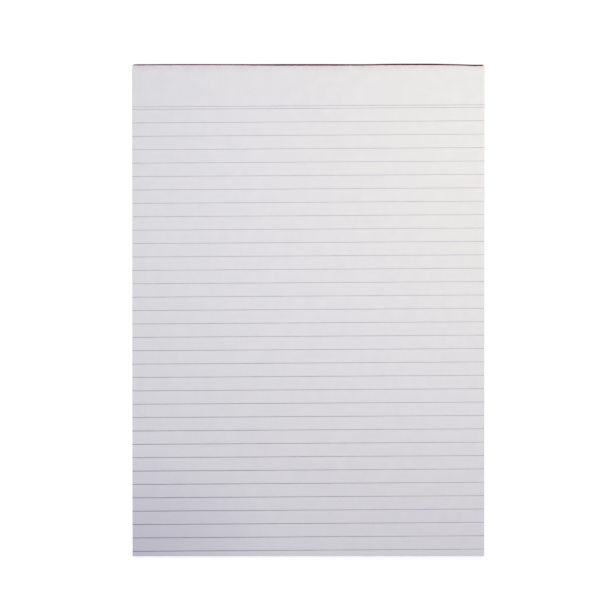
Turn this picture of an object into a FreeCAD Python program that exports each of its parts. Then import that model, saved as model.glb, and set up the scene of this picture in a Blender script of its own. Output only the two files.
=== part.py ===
import FreeCAD, Part
import os
import Sketcher

# A ruled legal pad, lying flat as on a desk. Fifty leaves lie on a grey backing board, and a brushed
# film of dark red gum binds the stack along its head edge. The other three edges are trimmed and free.
# X runs across the sheet, +Y points to the glued head, and +Z is up, out of the front leaf.
# The origin is the middle of the pad's underside. All sizes are in millimetres.

driving_dimensions = [
    ("sheet_width", 210.0, "trimmed width of the leaves and the board"),
    ("sheet_length", 293.5, "trimmed length of the leaves and the board, foot to head"),
    ("leaf_count", 50, "number of leaves"),
    ("leaf_thickness", 0.075, "one leaf of 70 g/m2 writing paper"),
    ("leaf_gap", 0.02, "air between two leaves at their cut edges"),
    ("gap_depth", 0.4, "how far the leaves part, inwards from their cut edges"),
    ("board_thickness", 0.8, "grey backing board"),
    ("board_edge_radius", 0.15, "free underside edges of the board, pressed round in cutting"),
    ("gum_film", 0.22, "gum on the head edge, at the top and bottom of the pad"),
    ("gum_crown", 0.13, "how much fuller the gum is halfway up the pad"),
    ("gum_seep", 0.25, "how far the gum runs in between the leaves"),
    ("gum_lap", 0.3, "how far the gum laps onto the front leaf"),
    ("gum_lap_thickness", 0.1, "gum over the head edge of the front leaf"),
    ("gum_feather", 0.03, "gum where its lap ends"),
    ("gum_edge_radius", 0.08, "rounding between the film and its lap"),
    ("foot_margin", 3.65, "foot edge to the lowest ruled line"),
    ("head_margin", 25.0, "least bare paper above the evenly ruled lines"),
    ("rule_pitch", 8.0, "one ruled line to the next"),
    ("rule_width", 0.3, "printed width of a ruled line"),
    ("rule_skew", 0.37, "how far the print is out of square with the sheet, in degrees"),
    ("head_rule_gap", 1.55, "top ruled line to the second line close above it"),
    ("ink_depth", 0.02, "how deep the ink sinks into the front leaf"),
]

doc = FreeCAD.newDocument("legal_pad")
dims = doc.addObject("Spreadsheet::Sheet", "dims")
for row, (alias, value, note) in enumerate(driving_dimensions, start=1):
    dims.set(f"A{row}", alias)
    dims.set(f"B{row}", str(value))
    dims.set(f"C{row}", note)
    dims.setAlias(f"B{row}", alias)
doc.recompute()

# Places that several pieces share, as expressions over the driving dimensions.
full_film = "(dims.gum_film + dims.gum_crown)"
side = "dims.sheet_width / 2"
foot = f"-(dims.sheet_length + {full_film}) / 2"
head = f"(dims.sheet_length - {full_film}) / 2"
leaf_pitch = "(dims.leaf_thickness + dims.leaf_gap)"
stack_height = f"(dims.leaf_count * {leaf_pitch} - dims.leaf_gap)"
stack_top = f"(dims.board_thickness + {stack_height})"
ruled_length = "(dims.sheet_length - dims.foot_margin - dims.head_margin)"
rule_steps = f"floor({ruled_length} / dims.rule_pitch)"
rule_rise = "dims.sheet_width * tan(dims.rule_skew * 1deg) / 2"

same_place = 1e-6  # two coordinates this near are the same place
most_rounded_share = 0.9  # a rounding takes no more than this share of the wall it is on


def measured(expression):
    """The present value of an expression over the driving dimensions."""
    found = dims.evalExpression(expression)
    return float(getattr(found, "Value", found))


def new_body(label):
    body = doc.addObject("PartDesign::Body", label)
    body.Label = label
    return body


def origin_feature(body, role):
    return next(feature for feature in body.Origin.OriginFeatures if feature.Role == role)


def new_sketch(body, name, plane, height=None):
    """A sketch on one of the body's own planes, or at a height along that plane's normal."""
    sketch = body.newObject("Sketcher::SketchObject", name)
    sketch.AttachmentSupport = (origin_feature(body, plane), "")
    sketch.MapMode = "FlatFace"
    if height:
        sketch.setExpression("AttachmentOffset.Base.z", height)
    return sketch


def drawn_points(corners):
    return [FreeCAD.Vector(measured(across), measured(along), 0) for across, along in corners]


def tie_point(sketch, geometry, end, place, name):
    """Holds one end of a line at a place, which is a pair of expressions from the sketch's origin."""
    for axis, expression in zip("XY", place):
        held = Sketcher.Constraint(f"Distance{axis}", -1, 1, geometry, end, measured(expression))
        index = sketch.addConstraint(held)
        label = f"{name}_{axis.lower()}"
        sketch.renameConstraint(index, label)
        sketch.setExpression(f"Constraints.{label}", expression)


def close_outline(sketch, first, corners, name):
    """Joins the edges from first onwards end to end, and ties each corner to its place."""
    for i, place in enumerate(corners):
        following = first + (i + 1) % len(corners)
        sketch.addConstraint(Sketcher.Constraint("Coincident", first + i, 2, following, 1))
        tie_point(sketch, first + i, 1, place, f"{name}{i}")


def draw_polygon(sketch, corners, name="corner"):
    """A closed outline of straight lines through the corners."""
    first = sketch.GeometryCount
    points = drawn_points(corners)
    for i, point in enumerate(points):
        sketch.addGeometry(Part.LineSegment(point, points[(i + 1) % len(points)]))
    close_outline(sketch, first, corners, name)


def sheet_corners(margin="0"):
    """The trimmed sheet's corners, each side moved outwards by the margin."""
    left, right = f"-({side}) - ({margin})", f"{side} + ({margin})"
    low, high = f"{foot} - ({margin})", f"{head} + ({margin})"
    return [(left, low), (right, low), (right, high), (left, high)]


def new_pad(body, name, sketch, length):
    pad = body.newObject("PartDesign::Pad", name)
    pad.Profile = sketch
    pad.setExpression("Length", length)
    return pad


def repeat(body, name, feature, axis, spacing, occurrences):
    """Copies of a feature at an even spacing along one of the body's own axes."""
    doc.recompute()
    pattern = body.newObject("PartDesign::LinearPattern", name)
    pattern.Originals = [feature]
    pattern.Direction = (origin_feature(body, axis), [""])
    pattern.Mode = "Spacing"
    pattern.setExpression("Offset", spacing)
    pattern.setExpression("Occurrences", occurrences)
    body.Tip = pattern
    doc.recompute()


def keeps_to(edge, place):
    """Whether both ends of an edge have the coordinates of a place, such as {"y": 3, "z": 0}."""
    ends = [vertex.Point for vertex in edge.Vertexes]
    return all(abs(getattr(end, axis) - at) < same_place for end in ends for axis, at in place.items())


def round_edges(body, name, feature, places, radius):
    """Rounds each edge of a feature that keeps to one of the places."""
    doc.recompute()
    edges = enumerate(feature.Shape.Edges, start=1)
    chosen = [f"Edge{i}" for i, edge in edges if any(keeps_to(edge, place) for place in places)]
    rounding = body.newObject("PartDesign::Fillet", name)
    rounding.Base = (feature, chosen)
    rounding.setExpression("Radius", radius)


def make_backing_board():
    """One sheet of grey board. Its head edge stays sharp, because the gum is brushed over it."""
    body = new_body("backing_board")
    sketch = new_sketch(body, "board_outline", "XY_Plane")
    draw_polygon(sketch, sheet_corners())
    board = new_pad(body, "board", sketch, "dims.board_thickness")
    half_width = measured(side)
    free_edges = [{"x": -half_width, "z": 0}, {"x": half_width, "z": 0}, {"y": measured(foot), "z": 0}]
    radius = f"min(dims.board_edge_radius; dims.board_thickness * {most_rounded_share})"
    round_edges(body, "pressed_edges", board, free_edges, radius)
    return body


def make_leaf_stack():
    """The trimmed stack, one solid, with a fine gap between each two leaves along their edges."""
    body = new_body("leaf_stack")
    sketch = new_sketch(body, "leaf_outline", "XY_Plane", "dims.board_thickness")
    draw_polygon(sketch, sheet_corners())
    new_pad(body, "stack", sketch, stack_height)
    ring = new_sketch(body, "gap_outline", "XY_Plane", f"dims.board_thickness + {leaf_pitch}")
    draw_polygon(ring, sheet_corners("dims.gap_depth"), "outer")
    draw_polygon(ring, sheet_corners("-dims.gap_depth"), "inner")
    gap = body.newObject("PartDesign::Pocket", "lowest_gap")
    gap.Profile = ring
    gap.setExpression("Length", "dims.leaf_gap")
    repeat(body, "leaf_gaps", gap, "Z_Axis", leaf_pitch, "dims.leaf_count - 1")
    return body


def rule_corners(height):
    """A printed line that runs off both sides of the sheet, centred at a height above the foot."""
    low = f"{foot} + {height} - dims.rule_width / 2"
    high = f"{foot} + {height} + dims.rule_width / 2"
    return [
        (f"-({side})", f"{low} - {rule_rise}"),
        (side, f"{low} + {rule_rise}"),
        (side, f"{high} + {rule_rise}"),
        (f"-({side})", f"{high} - {rule_rise}"),
    ]


def make_ruling():
    """The printed lines: ink that has sunk into the front leaf and lies level with the paper."""
    body = new_body("ruling")
    body.AllowCompound = True
    ink_floor = f"{stack_top} - dims.ink_depth"
    lowest = new_sketch(body, "lowest_rule_outline", "XY_Plane", ink_floor)
    draw_polygon(lowest, rule_corners("dims.foot_margin"))
    rule = new_pad(body, "lowest_rule", lowest, "dims.ink_depth")
    repeat(body, "even_rules", rule, "Y_Axis", "dims.rule_pitch", f"{rule_steps} + 1")
    second = new_sketch(body, "head_rule_outline", "XY_Plane", ink_floor)
    top_rule = f"(dims.foot_margin + {rule_steps} * dims.rule_pitch + dims.head_rule_gap)"
    draw_polygon(second, rule_corners(top_rule))
    new_pad(body, "head_rule", second, "dims.ink_depth")
    return body


def make_leaves(leaf_stack, ruling):
    """The stack, with the place of the ink taken out of its front leaf."""
    leaves = doc.addObject("Part::Cut", "leaves")
    leaves.Base = leaf_stack
    leaves.Tool = ruling
    return leaves


def make_gum_blank():
    """The gum as it would be with no leaves in it: a crowned film that laps over the front leaf, and
    a tongue that reaches in as far as the gum seeps between the leaves."""
    body = new_body("gum_blank")
    sketch = new_sketch(body, "gum_section", "YZ_Plane")
    film_edge = f"{head} + dims.gum_film"
    lap_top = f"{stack_top} + dims.gum_lap_thickness"
    lap_end = f"{head} - dims.gum_lap"
    corners = [
        (film_edge, "0"),
        (film_edge, lap_top),
        (head, lap_top),
        (lap_end, f"{stack_top} + dims.gum_feather"),
        (lap_end, stack_top),
        (head, stack_top),
        (head, "0"),
    ]
    crown = (f"{head} + {full_film}", f"({lap_top}) / 2")
    points = drawn_points(corners)
    crown_point = drawn_points([crown])[0]
    film_face = sketch.addGeometry(Part.Arc(points[0], crown_point, points[1]))
    for i in range(1, len(points)):
        sketch.addGeometry(Part.LineSegment(points[i], points[(i + 1) % len(points)]))
    close_outline(sketch, film_face, corners, "corner")
    crown_mark = sketch.addGeometry(Part.Point(crown_point), True)
    sketch.addConstraint(Sketcher.Constraint("PointOnObject", crown_mark, 1, film_face))
    tie_point(sketch, crown_mark, 1, crown, "crown")
    film = new_pad(body, "film", sketch, "dims.sheet_width")
    film.SideType = "Symmetric"
    seep_section = new_sketch(body, "seep_section", "YZ_Plane")
    seep_end = f"{head} - dims.gum_seep"
    inner, outer = "dims.board_thickness", stack_top
    draw_polygon(seep_section, [(seep_end, inner), (head, inner), (head, outer), (seep_end, outer)])
    seep = new_pad(body, "seep", seep_section, "dims.sheet_width")
    seep.SideType = "Symmetric"
    top_edge = {"y": measured(film_edge), "z": measured(lap_top)}
    thinnest = "min(dims.gum_lap_thickness; dims.gum_film)"
    radius = f"min(dims.gum_edge_radius; {thinnest} * {most_rounded_share})"
    round_edges(body, "brushed_edge", seep, [top_edge], radius)
    return body


def make_binding_gum(gum_blank, leaf_stack):
    """The gum with the leaves taken out of it, so that it keys into every gap at the head."""
    gum = doc.addObject("Part::Cut", "binding_gum")
    gum.Base = gum_blank
    gum.Tool = leaf_stack
    return gum


def check(objects):
    """Stops the script if anything in the document failed, or a piece has no sound solid."""
    for item in doc.Objects:
        if "Invalid" in item.State or "Error" in item.State:
            raise RuntimeError(f"{item.Label} failed: {item.State}")
    for item in objects:
        if item.Shape.isNull() or not item.Shape.isValid() or not item.Shape.Solids:
            raise RuntimeError(f"{item.Label} has no valid solid")


leaf_stack = make_leaf_stack()
ruling = make_ruling()
leaves = make_leaves(leaf_stack, ruling)
backing_board = make_backing_board()
binding_gum = make_binding_gum(make_gum_blank(), leaf_stack)
doc.recompute()

pieces = [leaves, ruling, backing_board, binding_gum]
check(pieces)
os.makedirs("parts", exist_ok=True)
for piece in pieces:
    piece.Shape.exportStep(f"parts/{piece.Label}.step")
    print(f"{piece.Label}: {len(piece.Shape.Solids)} solids, {piece.Shape.Volume:.2f} mm3")
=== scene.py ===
import math
import random

import bmesh
import bpy
from mathutils import Matrix, Vector, noise


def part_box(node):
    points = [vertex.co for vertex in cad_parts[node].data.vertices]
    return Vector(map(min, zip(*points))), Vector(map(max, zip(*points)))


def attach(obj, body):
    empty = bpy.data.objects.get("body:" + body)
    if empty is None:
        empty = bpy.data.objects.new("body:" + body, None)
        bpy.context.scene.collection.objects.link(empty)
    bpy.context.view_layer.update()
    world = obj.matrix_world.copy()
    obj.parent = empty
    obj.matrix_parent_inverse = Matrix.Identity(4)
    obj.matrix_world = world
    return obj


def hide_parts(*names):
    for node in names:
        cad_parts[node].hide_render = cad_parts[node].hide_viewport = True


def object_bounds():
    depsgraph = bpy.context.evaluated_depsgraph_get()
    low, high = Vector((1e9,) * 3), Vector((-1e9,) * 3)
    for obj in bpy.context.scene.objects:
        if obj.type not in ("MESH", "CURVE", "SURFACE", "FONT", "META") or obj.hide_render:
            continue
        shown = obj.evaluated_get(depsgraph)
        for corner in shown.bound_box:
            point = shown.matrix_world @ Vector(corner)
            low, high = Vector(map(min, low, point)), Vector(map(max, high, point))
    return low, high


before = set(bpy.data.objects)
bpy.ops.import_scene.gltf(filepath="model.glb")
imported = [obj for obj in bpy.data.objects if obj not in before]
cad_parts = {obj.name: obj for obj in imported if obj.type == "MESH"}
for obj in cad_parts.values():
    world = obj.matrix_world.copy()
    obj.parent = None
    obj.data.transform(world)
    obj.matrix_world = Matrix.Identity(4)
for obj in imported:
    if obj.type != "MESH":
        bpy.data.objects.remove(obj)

mm = 0.001

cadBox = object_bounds()
leavesLow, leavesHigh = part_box("leaves")
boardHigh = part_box("backing_board")[1]
sheetWidth = leavesHigh.x - leavesLow.x
sheetLength = leavesHigh.y - leavesLow.y
print(f"frame loaded: sheet {sheetWidth / mm:.1f} x {sheetLength / mm:.1f} mm")


# helpers

def smoothStep(low, high, value):
    t = min(1.0, max(0.0, (value - low) / (high - low)))
    return t * t * (3 - 2 * t)


def newPiece(name, bm, material, slotName, *nodes):
    bmesh.ops.recalc_face_normals(bm, faces=bm.faces)
    mesh = bpy.data.meshes.new(name)
    bm.to_mesh(mesh)
    bm.free()
    piece = bpy.data.objects.new(name, mesh)
    bpy.context.scene.collection.objects.link(piece)
    mesh.materials.append(material)
    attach(piece, "root")
    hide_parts(*nodes)
    return piece


def newMaterial(name):
    material = bpy.data.materials.new(name)
    material.use_nodes = True
    tree = material.node_tree
    tree.nodes.clear()
    output = tree.nodes.new("ShaderNodeOutputMaterial")
    shader = tree.nodes.new("ShaderNodeBsdfPrincipled")
    tree.links.new(shader.outputs["BSDF"], output.inputs["Surface"])
    return material, tree, shader


def addNode(tree, kind, inputs=None, **settings):
    # a value in inputs is a number, a colour or another node's output
    node = tree.nodes.new(kind)
    for key, value in settings.items():
        setattr(node, key, value)
    for key, value in (inputs or {}).items():
        if isinstance(value, bpy.types.NodeSocket):
            tree.links.new(value, node.inputs[key])
        else:
            node.inputs[key].default_value = value
    return node


def objectPlace(tree, scale=(1, 1, 1)):
    place = addNode(tree, "ShaderNodeTexCoord").outputs["Object"]
    return addNode(tree, "ShaderNodeMapping", {"Vector": place, "Scale": scale}).outputs["Vector"]


def addMath(tree, operation, first, second=0.5, clamped=False):
    inputs = {0: first, 1: second}
    return addNode(tree, "ShaderNodeMath", inputs, operation=operation, use_clamp=clamped).outputs[0]


def mixColours(tree, amount, first, second):
    # 0, 6 and 7 are a Mix node's sockets for the factor and the two colours
    inputs = {0: amount, 6: first, 7: second}
    return addNode(tree, "ShaderNodeMix", inputs, data_type="RGBA").outputs[2]


def remap(tree, value, low, high, newLow, newHigh):
    inputs = {"Value": value, "From Min": low, "From Max": high, "To Min": newLow, "To Max": newHigh}
    return addNode(tree, "ShaderNodeMapRange", inputs, clamp=True).outputs["Result"]


def addBump(tree, shader, height, strength, distance):
    bump = addNode(tree, "ShaderNodeBump", {"Height": height, "Strength": strength, "Distance": distance})
    tree.links.new(bump.outputs["Normal"], shader.inputs["Normal"])


def seenDirectly(tree):
    # 1 for what the camera sees, also by reflection or through something clear
    path = addNode(tree, "ShaderNodeLightPath").outputs
    seen = addMath(tree, "MAXIMUM", path["Is Camera Ray"], path["Is Glossy Ray"])
    return addMath(tree, "MAXIMUM", seen, path["Is Transmission Ray"])


# pulp: the cloudy look-through and the fibre relief that paper, ink and board share

def makePulpGroup():
    group = bpy.data.node_groups.new("pulp", "ShaderNodeTree")
    for name, kind, value in (("Vector", "NodeSocketVector", None),
                              ("Cloud Size", "NodeSocketFloat", 6 * mm),
                              ("Fibre Size", "NodeSocketFloat", 0.3 * mm)):
        socket = group.interface.new_socket(name=name, in_out="INPUT", socket_type=kind)
        if value is not None:
            socket.default_value = value
    for name in ("Cloud", "Fibre"):
        group.interface.new_socket(name=name, in_out="OUTPUT", socket_type="NodeSocketFloat")
    start = group.nodes.new("NodeGroupInput")
    end = group.nodes.new("NodeGroupOutput")

    def noiseAt(size, detail, distortion):
        scale = addMath(group, "DIVIDE", 1.0, size)
        inputs = {"Vector": start.outputs["Vector"], "Scale": scale,
                  "Detail": detail, "Distortion": distortion}
        return addNode(group, "ShaderNodeTexNoise", inputs).outputs["Fac"]

    group.links.new(noiseAt(start.outputs["Cloud Size"], 4.0, 0.3), end.inputs["Cloud"])
    group.links.new(noiseAt(start.outputs["Fibre Size"], 2.0, 1.2), end.inputs["Fibre"])
    return group


pulpGroup = makePulpGroup()


def addPulp(tree, cloudSize, fibreSize, stretch=(1, 1, 1)):
    inputs = {"Vector": objectPlace(tree, stretch), "Cloud Size": cloudSize, "Fibre Size": fibreSize}
    group = addNode(tree, "ShaderNodeGroup", inputs, node_tree=pulpGroup)
    return group.outputs["Cloud"], group.outputs["Fibre"]


# paper

paper = {
    "clear": (0.885, 0.88, 0.885, 1),    # where the pulp is thin
    "dense": (0.865, 0.862, 0.875, 1),   # where it is thick
    "gumStain": (0.87, 0.65, 0.73, 1),   # the gum has bled into the paper beside it
    "stainReach": 4.2 * mm,
    "paintedCornerShade": (0.722, 0.712, 0.765, 1),    # painted shade: greyer towards the foot's left corner, standing in for the light falling off there
    "paintedCornerShadeReach": 90 * mm,
    "paintedCornerShadeStretch": (1, 1.4, 1),
    "cloudSize": 7 * mm,
    "cloudRange": (0.35, 0.65),
    "fibreSize": 0.35 * mm,
    "fibreRelief": 0.012 * mm,
    "bump": 0.5,
    "roughness": 0.88,
    "specular": 0.25,
}


def footCornerDistance(tree, stretch):
    # how far the surface is from the front leaf's left corner at the foot
    corner = Vector((leavesLow.x, leavesLow.y, leavesHigh.z)) * Vector(stretch)
    inputs = {0: objectPlace(tree, stretch), 1: corner}
    return addNode(tree, "ShaderNodeVectorMath", inputs, operation="DISTANCE").outputs["Value"]


def makePaper():
    material, tree, shader = newMaterial("writing_paper")
    cloud, fibre = addPulp(tree, paper["cloudSize"], paper["fibreSize"])
    density = remap(tree, cloud, *paper["cloudRange"], 0, 1)
    tone = mixColours(tree, density, paper["clear"], paper["dense"])
    # painted shade: the paper turns greyer nearer the foot's left corner, in place of the light falling
    # off there
    fromCorner = footCornerDistance(tree, paper["paintedCornerShadeStretch"])
    paintedCornerShade = remap(tree, fromCorner, 0, paper["paintedCornerShadeReach"], 1, 0)
    tone = mixColours(tree, paintedCornerShade, tone, paper["paintedCornerShade"])
    along = addNode(tree, "ShaderNodeSeparateXYZ", {"Vector": objectPlace(tree)}).outputs["Y"]
    stain = remap(tree, along, leavesHigh.y - paper["stainReach"], leavesHigh.y, 0, 1)
    colour = mixColours(tree, addMath(tree, "MULTIPLY", stain, cloud), tone, paper["gumStain"])
    tree.links.new(colour, shader.inputs["Base Color"])
    shader.inputs["Roughness"].default_value = paper["roughness"]
    shader.inputs["Specular IOR Level"].default_value = paper["specular"]
    addBump(tree, shader, fibre, paper["bump"], paper["fibreRelief"])
    return material


# leaf edges: cut fibre, a little darker from leaf to leaf

cutEdge = {
    "pale": (0.89, 0.882, 0.872, 1),
    "dark": (0.66, 0.645, 0.635, 1),
    "bandHeight": 0.45 * mm,     # leaves that were cut alike lie in bands
    "bandLength": 60 * mm,
    "bandRange": (0.8, 1.25),
    "bandShare": 0.6,
    "fibreSize": 0.12 * mm,
    "relief": 0.03 * mm,
    "bump": 0.6,
    "roughness": 0.95,
    "specular": 0.2,
}


def makeCutEdge():
    material, tree, shader = newMaterial("cut_leaf_edges")
    stretch = (cutEdge["bandHeight"] / cutEdge["bandLength"],) * 2 + (1,)
    bands, fine = addPulp(tree, cutEdge["bandHeight"], cutEdge["fibreSize"], stretch)
    both = addMath(tree, "ADD", bands, fine)
    darker = remap(tree, both, *cutEdge["bandRange"], 0, cutEdge["bandShare"])
    colour = mixColours(tree, darker, cutEdge["pale"], cutEdge["dark"])
    leafTone = addNode(tree, "ShaderNodeAttribute", attribute_name="leafTone").outputs["Fac"]
    colour = mixColours(tree, leafTone, colour, cutEdge["dark"])
    tree.links.new(colour, shader.inputs["Base Color"])
    shader.inputs["Roughness"].default_value = cutEdge["roughness"]
    shader.inputs["Specular IOR Level"].default_value = cutEdge["specular"]
    addBump(tree, shader, fine, cutEdge["bump"], cutEdge["relief"])
    return material


# ink: printed fullest at the foot's left corner

ink = {
    "thin": (0.545, 0.533, 0.60, 1),
    "full": (0.085, 0.068, 0.15, 1),
    "fullWithin": 30 * mm,
    "reach": 255 * mm,
    "stretch": (0.8, 1, 1),
    "build": 1.8,
    "patchLength": 12 * mm,
    "patchRange": (0.3, 0.7),
    "patchShare": 0.12,
    "roughness": 0.8,
}


def makeInk():
    material, tree, shader = newMaterial("ruling_ink")
    fromCorner = footCornerDistance(tree, ink["stretch"])
    weight = remap(tree, fromCorner, ink["fullWithin"], ink["reach"], 1, 0)
    weight = addMath(tree, "POWER", weight, ink["build"])
    patches, fibre = addPulp(tree, ink["patchLength"], paper["fibreSize"])
    uneven = remap(tree, patches, *ink["patchRange"], -ink["patchShare"], ink["patchShare"])
    weight = addMath(tree, "ADD", weight, uneven, clamped=True)
    colour = mixColours(tree, weight, ink["thin"], ink["full"])
    tree.links.new(colour, shader.inputs["Base Color"])
    shader.inputs["Roughness"].default_value = ink["roughness"]
    shader.inputs["Specular IOR Level"].default_value = paper["specular"]
    addBump(tree, shader, fibre, paper["bump"], paper["fibreRelief"])
    return material


# binding gum: dried in brushed streaks, the leaves just show through

gumSkin = {
    "thin": (0.075, 0.018, 0.025, 1),
    "thick": (0.032, 0.009, 0.013, 1),
    "streakLength": 22 * mm,
    "streakHeight": 0.5 * mm,
    "streakRange": (0.3, 0.7),
    "fineSize": 0.2 * mm,
    "relief": 0.06 * mm,
    "bump": 0.7,
    "roughness": (0.45, 0.65),
    "specular": 0.15,
}


def makeGumSkin():
    material, tree, shader = newMaterial("dried_binding_gum")
    stretch = (gumSkin["streakHeight"] / gumSkin["streakLength"], 1, 1)
    streaks, fine = addPulp(tree, gumSkin["streakHeight"], gumSkin["fineSize"], stretch)
    thickness = remap(tree, streaks, *gumSkin["streakRange"], 0, 1)
    colour = mixColours(tree, thickness, gumSkin["thin"], gumSkin["thick"])
    tree.links.new(colour, shader.inputs["Base Color"])
    dull = remap(tree, streaks, *gumSkin["streakRange"], *gumSkin["roughness"])
    tree.links.new(dull, shader.inputs["Roughness"])
    shader.inputs["Specular IOR Level"].default_value = gumSkin["specular"]
    addBump(tree, shader, addMath(tree, "ADD", streaks, fine), gumSkin["bump"], gumSkin["relief"])
    return material


# backing board: grey, recycled, with pale strands and dark flecks of the old paper in it

greyBoard = {
    "base": (0.335, 0.32, 0.29, 1),
    "light": (0.385, 0.37, 0.34, 1),
    "strand": (0.52, 0.51, 0.48, 1),
    "fleck": (0.13, 0.12, 0.11, 1),
    "plyHeight": 0.16 * mm,      # made up in plies, which show along its edges
    "plyLength": 5 * mm,
    "plyRange": (0.8, 1.2),
    "fineSize": 0.3 * mm,
    "strandSize": 2.2 * mm,
    "strandWidth": 0.014,        # as a share of the noise's range
    "strandShare": 0.6,
    "brokenRange": (0.48, 0.56),
    "fleckSize": 0.4 * mm,
    "fleckStretch": (1, 0.6, 1),
    "fleckRange": (0.66, 0.72),
    "fleckShare": 0.75,
    "relief": 0.03 * mm,
    "bump": 0.6,
    "roughness": 0.93,
    "specular": 0.2,
}


def makeGreyBoard():
    material, tree, shader = newMaterial("grey_board")
    stretch = (greyBoard["plyHeight"] / greyBoard["plyLength"],) * 2 + (1,)
    plies = addPulp(tree, greyBoard["plyHeight"], greyBoard["fineSize"], stretch)[0]
    broken, curls = addPulp(tree, greyBoard["strandSize"], greyBoard["strandSize"])
    flecks, fine = addPulp(tree, greyBoard["fleckSize"], greyBoard["fineSize"], greyBoard["fleckStretch"])
    paler = remap(tree, addMath(tree, "ADD", plies, fine), *greyBoard["plyRange"], 0, 1)
    colour = mixColours(tree, paler, greyBoard["base"], greyBoard["light"])

    # a strand runs where the curls pass their middle value, and breaks off where the pulp is thin
    offMiddle = addMath(tree, "ABSOLUTE", addMath(tree, "SUBTRACT", curls, 0.5))
    strands = remap(tree, offMiddle, 0, greyBoard["strandWidth"], greyBoard["strandShare"], 0)
    strands = addMath(tree, "MULTIPLY", strands, remap(tree, broken, *greyBoard["brokenRange"], 0, 1))
    colour = mixColours(tree, strands, colour, greyBoard["strand"])
    darker = remap(tree, flecks, *greyBoard["fleckRange"], 0, greyBoard["fleckShare"])
    colour = mixColours(tree, darker, colour, greyBoard["fleck"])
    tree.links.new(colour, shader.inputs["Base Color"])
    shader.inputs["Roughness"].default_value = greyBoard["roughness"]
    shader.inputs["Specular IOR Level"].default_value = greyBoard["specular"]
    addBump(tree, shader, fine, greyBoard["bump"], greyBoard["relief"])
    return material


paperMaterial = makePaper()
edgeMaterial = makeCutEdge()
inkMaterial = makeInk()
gumMaterial = makeGumSkin()
boardMaterial = makeGreyBoard()
print("materials made")


# front leaf: lies almost flat, with soft waves and foot corners that have begun to lift

frontLeaf = {
    "thickness": 0.075 * mm,
    "cell": 2.5 * mm,
    "cockle": 0.05 * mm,
    "cockleSize": 40 * mm,
    "cornerLift": 0.11 * mm,
    "cornerReach": 55 * mm,
    "heldFlat": 25 * mm,       # this far from the head the gum keeps the leaf down
    "sharpFrom": math.radians(40),
}


def liftAt(x, y):
    free = smoothStep(0, frontLeaf["heldFlat"], leavesHigh.y - y)
    wave = 0.5 + 0.5 * noise.noise(Vector((x, y, 0)) / frontLeaf["cockleSize"])
    lift = frontLeaf["cockle"] * wave
    for cornerX in (leavesLow.x, leavesHigh.x):
        distance = math.hypot(x - cornerX, y - leavesLow.y)
        lift += frontLeaf["cornerLift"] * max(0, 1 - distance / frontLeaf["cornerReach"]) ** 2
    return free * lift


def gridSteps(length):
    return round(length / frontLeaf["cell"])


def makeFrontLeaf():
    bm = bmesh.new()
    across, along = gridSteps(sheetWidth), gridSteps(sheetLength)
    bmesh.ops.create_grid(bm, x_segments=across, y_segments=along, size=0.5)
    bmesh.ops.scale(bm, verts=bm.verts, vec=(sheetWidth, sheetLength, 1))
    middle = Vector((0, (leavesLow.y + leavesHigh.y) / 2, leavesHigh.z - frontLeaf["thickness"]))
    bmesh.ops.translate(bm, verts=bm.verts, vec=middle)
    for vert in bm.verts:
        vert.co.z += liftAt(vert.co.x, vert.co.y)
    body = bmesh.ops.extrude_face_region(bm, geom=list(bm.faces))
    top = [item for item in body["geom"] if isinstance(item, bmesh.types.BMVert)]
    bmesh.ops.translate(bm, verts=top, vec=(0, 0, frontLeaf["thickness"]))
    for face in bm.faces:
        face.smooth = True
    for edge in bm.edges:
        if abs(edge.calc_face_angle(0)) > frontLeaf["sharpFrom"]:
            edge.smooth = False
    return newPiece("front_leaf", bm, paperMaterial, "paper", "leaves")


makeFrontLeaf()
print("front leaf made")


# leaves below it, each a little off the next at its free edges

leafBlock = {
    "count": 49,
    "thickness": 0.087 * mm,
    "driftSide": 0.10 * mm,     # slow drift of the cut from leaf to leaf
    "driftFoot": 0.08 * mm,
    "driftRate": 0.16,
    "leftTrack": 0.5,           # rows of the noise, one for each side
    "rightTrack": 7.5,
    "footTrack": 3.5,
    "scatter": 0.025 * mm,
    "darkest": 0.35,
    "seed": 11,
}


def makeLeafBlock():
    dice = random.Random(leafBlock["seed"])
    pitch = (leavesHigh.z - leavesLow.z - leafBlock["thickness"]) / leafBlock["count"]
    bm = bmesh.new()
    toneLayer = bm.faces.layers.float.new("leafTone")
    for i in range(leafBlock["count"]):
        step = i * leafBlock["driftRate"]
        left = leavesLow.x + leafBlock["driftSide"] * noise.noise((step, leafBlock["leftTrack"], 0))
        right = leavesHigh.x + leafBlock["driftSide"] * noise.noise((step, leafBlock["rightTrack"], 0))
        foot = leavesLow.y + leafBlock["driftFoot"] * noise.noise((step, leafBlock["footTrack"], 0))
        left += dice.gauss(0, leafBlock["scatter"])
        right += dice.gauss(0, leafBlock["scatter"])
        foot += dice.gauss(0, leafBlock["scatter"])
        low = leavesLow.z + i * pitch
        size = Vector((right - left, leavesHigh.y - foot, leafBlock["thickness"]))
        centre = Vector(((left + right) / 2, (leavesHigh.y + foot) / 2, low + size.z / 2))
        place = Matrix.Translation(centre) @ Matrix.Diagonal((*size, 1))
        known = len(bm.faces)
        bmesh.ops.create_cube(bm, size=1, matrix=place)
        tone = dice.random() ** 2 * leafBlock["darkest"]
        bm.faces.ensure_lookup_table()
        for face in bm.faces[known:]:
            face[toneLayer] = tone
    return newPiece("leaf_block", bm, edgeMaterial, "paper", "leaves")


makeLeafBlock()
print("leaf block made")


# ruled lines: ink printed on the front leaf, following its waves

ruledLines = {
    "count": 34,
    "pitch": 8.0 * mm,
    "footMargin": 3.65 * mm,
    "headRuleGap": 1.55 * mm,
    "width": 0.3 * mm,
    "skew": math.radians(0.37),
    "wander": 0.015 * mm,      # the line's edges aren't quite straight
    "wanderLength": 5 * mm,
    "rowStep": 5,              # keeps one line's wander apart from the next one's
    "proud": 0.01 * mm,
    "depth": 0.03 * mm,
}


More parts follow.
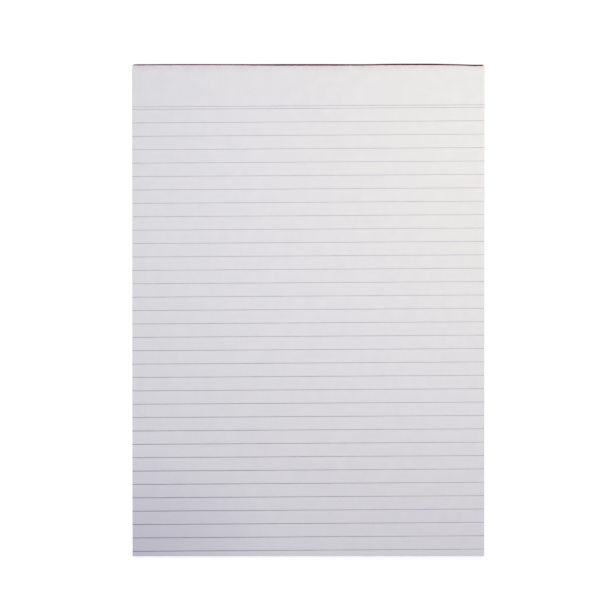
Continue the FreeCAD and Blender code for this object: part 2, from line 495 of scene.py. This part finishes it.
def makeRuledLines():
    bm = bmesh.new()
    heights = [ruledLines["footMargin"] + i * ruledLines["pitch"] for i in range(ruledLines["count"])]
    heights.append(heights[-1] + ruledLines["headRuleGap"])
    across = gridSteps(sheetWidth)
    for height in heights:
        known = len(bm.verts)
        bmesh.ops.create_grid(bm, x_segments=across, y_segments=1, size=0.5)
        bm.verts.ensure_lookup_table()
        line = bm.verts[known:]
        bmesh.ops.scale(bm, verts=line, vec=(sheetWidth, ruledLines["width"], 1))
        for vert in line:
            side = vert.co.y / ruledLines["width"]
            row = height / ruledLines["pitch"] * ruledLines["rowStep"]
            spot = Vector((vert.co.x / ruledLines["wanderLength"], row, side))
            vert.co.y += ruledLines["wander"] * noise.noise(spot)
            vert.co.y += leavesLow.y + height + vert.co.x * math.tan(ruledLines["skew"])
            vert.co.z = leavesHigh.z + liftAt(vert.co.x, vert.co.y)
            vert.co.z += ruledLines["proud"] - ruledLines["depth"]
    body = bmesh.ops.extrude_face_region(bm, geom=list(bm.faces))
    top = [item for item in body["geom"] if isinstance(item, bmesh.types.BMVert)]
    bmesh.ops.translate(bm, verts=top, vec=(0, 0, ruledLines["depth"]))
    return newPiece("ruled_lines", bm, inkMaterial, "ink", "ruling")


makeRuledLines()
print("ruled lines made")


# binding gum: a brushed film over the head edge, with a ragged lap on the front leaf

gumFilm = {
    "edge": 0.22 * mm,          # film at the top and bottom of the pad
    "crown": 0.13 * mm,         # fuller halfway up
    "lap": 0.3 * mm,
    "lapThickness": 0.09 * mm,
    "feather": 0.025 * mm,
    "sunk": 0.02 * mm,          # the lap has wetted into the leaf
    "inset": 0.05 * mm,         # the film reaches behind the leaves' edges
    "filmSteps": 16,
    "cornerSteps": 4,
    "lapSteps": 3,
    "slices": 420,
    "brushRelief": 0.035 * mm,
    "brushLength": 14 * mm,
    "brushHeight": 0.9 * mm,
    "brushNoise": (1.0, 2.0, 3),     # falling off, lacunarity, octaves
    "ragged": 0.10 * mm,
    "raggedLength": 3.5 * mm,
    "raggedNoise": (0.8, 2.0, 4),
    "raggedTrack": 5.0,         # a row of the noise
    "leastReach": 0.075 * mm,   # the lap never draws back further than this
    # where the brush was fuller or drier: middle along the edge, reach, added lap, added film
    "strokes": ((-68 * mm, 50 * mm, -0.23 * mm, 0.18 * mm),
                (0 * mm, 50 * mm, 0.07 * mm, 0.20 * mm),
                (63 * mm, 36 * mm, -0.23 * mm, 0.45 * mm),
                (104 * mm, 15 * mm, 0.30 * mm, -0.15 * mm)),
    "strokeCore": 0.2,          # share of a stroke's reach that has its full effect
    "endGap": 0.8 * mm,         # the brush left off this far from the sheet's sides
    "endRagged": 0.35 * mm,
    "endFade": 1.2 * mm,        # and the film gets thinner to there
    "endShare": 0.7,
    "sharpFrom": math.radians(50),
}


def strokeAt(x):
    lap = film = 0
    for middle, reach, addedLap, addedFilm in gumFilm["strokes"]:
        share = 1 - smoothStep(gumFilm["strokeCore"], 1, abs(x - middle) / reach)
        lap += share * addedLap
        film += share * addedFilm
    return lap, film


def gumOutline():
    # the section, from the underside up the film, over the top and down behind it, and how free
    # each point is: 0 stays put, 1 is outer film, 2 is the end of the lap
    head, top = leavesHigh.y, leavesHigh.z
    outline = []
    for i in range(gumFilm["filmSteps"] + 1):
        share = i / gumFilm["filmSteps"]
        swell = gumFilm["crown"] * (1 - (2 * share - 1) ** 2)
        outline.append((head + gumFilm["edge"] + swell, share * top, 1))
    for i in range(1, gumFilm["cornerSteps"] + 1):
        angle = math.pi / 2 * i / gumFilm["cornerSteps"]
        y = head + gumFilm["edge"] * math.cos(angle)
        outline.append((y, top + gumFilm["lapThickness"] * math.sin(angle), 1))
    for i in range(1, gumFilm["lapSteps"] + 1):
        share = i / gumFilm["lapSteps"]
        z = top + gumFilm["lapThickness"] + (gumFilm["feather"] - gumFilm["lapThickness"]) * share
        outline.append((head - gumFilm["lap"] * share, z, 1 + share))
    outline.append((head - gumFilm["lap"], top - gumFilm["sunk"], 2))
    outline.append((head - gumFilm["inset"], top - gumFilm["sunk"], 0))
    outline.append((head - gumFilm["inset"], boardHigh.z, 0))
    outline.append((head, boardHigh.z, 0))
    outline.append((head, 0, 0))
    return outline


def makeGumFilm():
    bm = bmesh.new()
    freedom = bm.verts.layers.float.new("freedom")
    outline = gumOutline()
    corners = []
    for y, z, free in outline:
        corner = bm.verts.new((leavesLow.x, y, z))
        corner[freedom] = free
        corners.append(corner)
    end = bm.faces.new(corners)
    body = bmesh.ops.extrude_face_region(bm, geom=[end])
    moved = [item for item in body["geom"] if isinstance(item, bmesh.types.BMVert)]
    bmesh.ops.translate(bm, verts=moved, vec=(sheetWidth, 0, 0))
    bm.edges.ensure_lookup_table()
    long = [e for e in bm.edges if abs(e.verts[0].co.x - e.verts[1].co.x) > sheetWidth / 2]
    bmesh.ops.subdivide_edges(bm, edges=long, cuts=gumFilm["slices"] - 1, use_grid_fill=True)
    for vert in bm.verts:
        free = vert[freedom]
        x, y, z = vert.co
        ragged = gumFilm["endRagged"] * noise.noise((2 * x / sheetWidth, 0, z / gumFilm["brushHeight"]))
        vert.co.x *= 1 - 2 * (gumFilm["endGap"] + ragged) / sheetWidth
        if free <= 0:
            continue
        lap, film = strokeAt(x)
        brush = Vector((x / gumFilm["brushLength"], 0, z / gumFilm["brushHeight"]))
        out = gumFilm["brushRelief"] * noise.fractal(brush, *gumFilm["brushNoise"])
        if z > leavesHigh.z:
            vert.co.z += max(out, -gumFilm["feather"] / 2) * 0.5
        else:
            vert.co.y += out
        if y > leavesHigh.y:
            vert.co.y += film * min(1, (y - leavesHigh.y) / gumFilm["edge"])
        if free > 1:
            spot = Vector((x / gumFilm["raggedLength"], gumFilm["raggedTrack"], 0))
            edge = noise.fractal(spot, *gumFilm["raggedNoise"])
            added = max(lap + gumFilm["ragged"] * edge, gumFilm["leastReach"] - gumFilm["lap"])
            vert.co.y -= added * (free - 1)
        fade = smoothStep(0, gumFilm["endFade"], sheetWidth / 2 - abs(x))
        fade = gumFilm["endShare"] + (1 - gumFilm["endShare"]) * fade
        vert.co.y = leavesHigh.y + fade * (vert.co.y - leavesHigh.y)
        if z > leavesHigh.z:
            vert.co.z = leavesHigh.z + fade * (vert.co.z - leavesHigh.z)
    for face in bm.faces:
        face.smooth = abs(face.normal.x) < 0.9
    for edge in bm.edges:
        if abs(edge.calc_face_angle(0)) > gumFilm["sharpFrom"]:
            edge.smooth = False
    return newPiece("gum_film", bm, gumMaterial, "gum", "binding_gum")


makeGumFilm()
print("gum film made")


# backing board: its CAD solid has the right form and gets its finish here

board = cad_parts["backing_board"]
board.data.materials.clear()
board.data.materials.append(boardMaterial)
print("backing board finished")


# floor: white to the camera, with the pad's own soft shadow

floor = {
    "size": 60.0,
    "colour": (0.8, 0.8, 0.8, 1),
    "shadowPart": 0.26,         # share of the lit floor that the camera sees
    "glowNear": 0.87,           # own white near the pad
    "glowFar": 1.0,
    "nearRadius": 0.3,
    "farRadius": 2.0,
}


def makeFloorMaterial():
    material = bpy.data.materials.new("studio_floor")
    material.use_nodes = True
    tree = material.node_tree
    tree.nodes.clear()
    distance = addNode(tree, "ShaderNodeVectorMath", {0: objectPlace(tree)}, operation="LENGTH")
    glow = remap(tree, distance.outputs["Value"], floor["nearRadius"], floor["farRadius"],
                 floor["glowNear"], floor["glowFar"])
    lit = addNode(tree, "ShaderNodeBsdfDiffuse", {"Color": (*(floor["shadowPart"],) * 3, 1)})
    white = addNode(tree, "ShaderNodeEmission", {"Strength": glow})
    shown = addNode(tree, "ShaderNodeAddShader", {0: lit.outputs[0], 1: white.outputs[0]})
    bounce = addNode(tree, "ShaderNodeBsdfDiffuse", {"Color": floor["colour"]})
    surface = addNode(tree, "ShaderNodeMixShader",
                      {0: seenDirectly(tree), 1: bounce.outputs[0], 2: shown.outputs[0]})
    below = addNode(tree, "ShaderNodeNewGeometry").outputs["Backfacing"]
    clear = addNode(tree, "ShaderNodeBsdfTransparent")
    surface = addNode(tree, "ShaderNodeMixShader",
                      {0: below, 1: surface.outputs[0], 2: clear.outputs[0]})
    output = addNode(tree, "ShaderNodeOutputMaterial")
    tree.links.new(surface.outputs[0], output.inputs["Surface"])
    return material


def makeFloor():
    bm = bmesh.new()
    bmesh.ops.create_grid(bm, x_segments=1, y_segments=1, size=floor["size"] / 2)
    mesh = bpy.data.meshes.new("floor")
    bm.to_mesh(mesh)
    bm.free()
    ground = bpy.data.objects.new("floor", mesh)
    bpy.context.scene.collection.objects.link(ground)
    mesh.materials.append(makeFloorMaterial())


makeFloor()


# light: a warm soft lamp on the right, a paler one above and a bright room with a dim blue ceiling

light = {
    "keyPlace": (0.24, 0.15, 0.40),
    "keySize": 0.24,
    "keyPower": 0.838,
    "keyColour": (1.0, 0.969, 0.678),
    "fillPlace": (-0.10, 0.06, 0.50),
    "fillSize": 0.24,
    "fillPower": 0.794,
    "fillColour": (0.98, 1.0, 0.86),
    "walls": (0.96, 0.96, 1.08, 1),
    "ceiling": (0.184, 0.175, 0.301, 1),
    "wallTop": (0.35, 0.50),       # sine of the elevation where the walls pass into the ceiling
}


def makeLamp(name, place, size, power, colour):
    lamp = bpy.data.lights.new(name, "AREA")
    lamp.shape = "DISK"
    lamp.size = size
    lamp.energy = power
    lamp.color = colour
    holder = bpy.data.objects.new(name, lamp)     # unturned, so it shines straight down
    holder.location = place
    holder.visible_camera = False
    bpy.context.scene.collection.objects.link(holder)


def makeLight():
    makeLamp("warm_key", light["keyPlace"], light["keySize"], light["keyPower"], light["keyColour"])
    makeLamp("pale_fill", light["fillPlace"], light["fillSize"], light["fillPower"], light["fillColour"])

    world = bpy.data.worlds.new("studio")
    bpy.context.scene.world = world
    world.use_nodes = True
    tree = world.node_tree
    tree.nodes.clear()
    direction = addNode(tree, "ShaderNodeTexCoord").outputs["Generated"]
    height = addNode(tree, "ShaderNodeSeparateXYZ", {"Vector": direction}).outputs["Z"]
    overhead = remap(tree, height, *light["wallTop"], 0, 1)
    colour = mixColours(tree, overhead, light["walls"], light["ceiling"])
    room = addNode(tree, "ShaderNodeBackground", {"Color": colour, "Strength": 1.0})
    white = addNode(tree, "ShaderNodeBackground", {"Color": (1, 1, 1, 1), "Strength": 1.0})
    both = addNode(tree, "ShaderNodeMixShader",
                   {0: seenDirectly(tree), 1: room.outputs[0], 2: white.outputs[0]})
    output = addNode(tree, "ShaderNodeOutputWorld")
    tree.links.new(both.outputs[0], output.inputs["Surface"])


makeLight()
print("floor and light made")


# camera: nearly straight above, leaning a little to the head side

view = {
    "imageSize": 600,
    "padMiddle": (308.4, 310.7),     # pixel of the photo that the pad's middle falls on
    "pixelsPerMetre": 1675.5,
    "lens": 500.0,
    "sensor": 36.0,
    "lean": math.radians(2.5),
}


def makeCamera():
    low, high = cadBox
    middle = Vector(((low.x + high.x) / 2, (low.y + high.y) / 2, high.z))
    distance = view["lens"] / view["sensor"] * view["imageSize"] / view["pixelsPerMetre"]
    turn = Matrix.Rotation(-view["lean"], 3, "X")
    back, right, up = turn @ Vector((0, 0, 1)), turn @ Vector((1, 0, 0)), turn @ Vector((0, 1, 0))
    half = view["imageSize"] / 2
    shiftRight = (view["padMiddle"][0] - half) / view["pixelsPerMetre"]
    shiftDown = (view["padMiddle"][1] - half) / view["pixelsPerMetre"]
    data = bpy.data.cameras.new("camera")
    data.lens = view["lens"]
    data.sensor_width = view["sensor"]
    data.clip_start = 0.1
    data.clip_end = 100.0
    camera = bpy.data.objects.new("camera", data)
    camera.location = middle + back * distance - right * shiftRight + up * shiftDown
    camera.rotation_euler = (-view["lean"], 0, 0)
    bpy.context.scene.collection.objects.link(camera)
    bpy.context.scene.camera = camera


makeCamera()
bpy.context.scene.view_settings.view_transform = "Standard"
print("camera set")
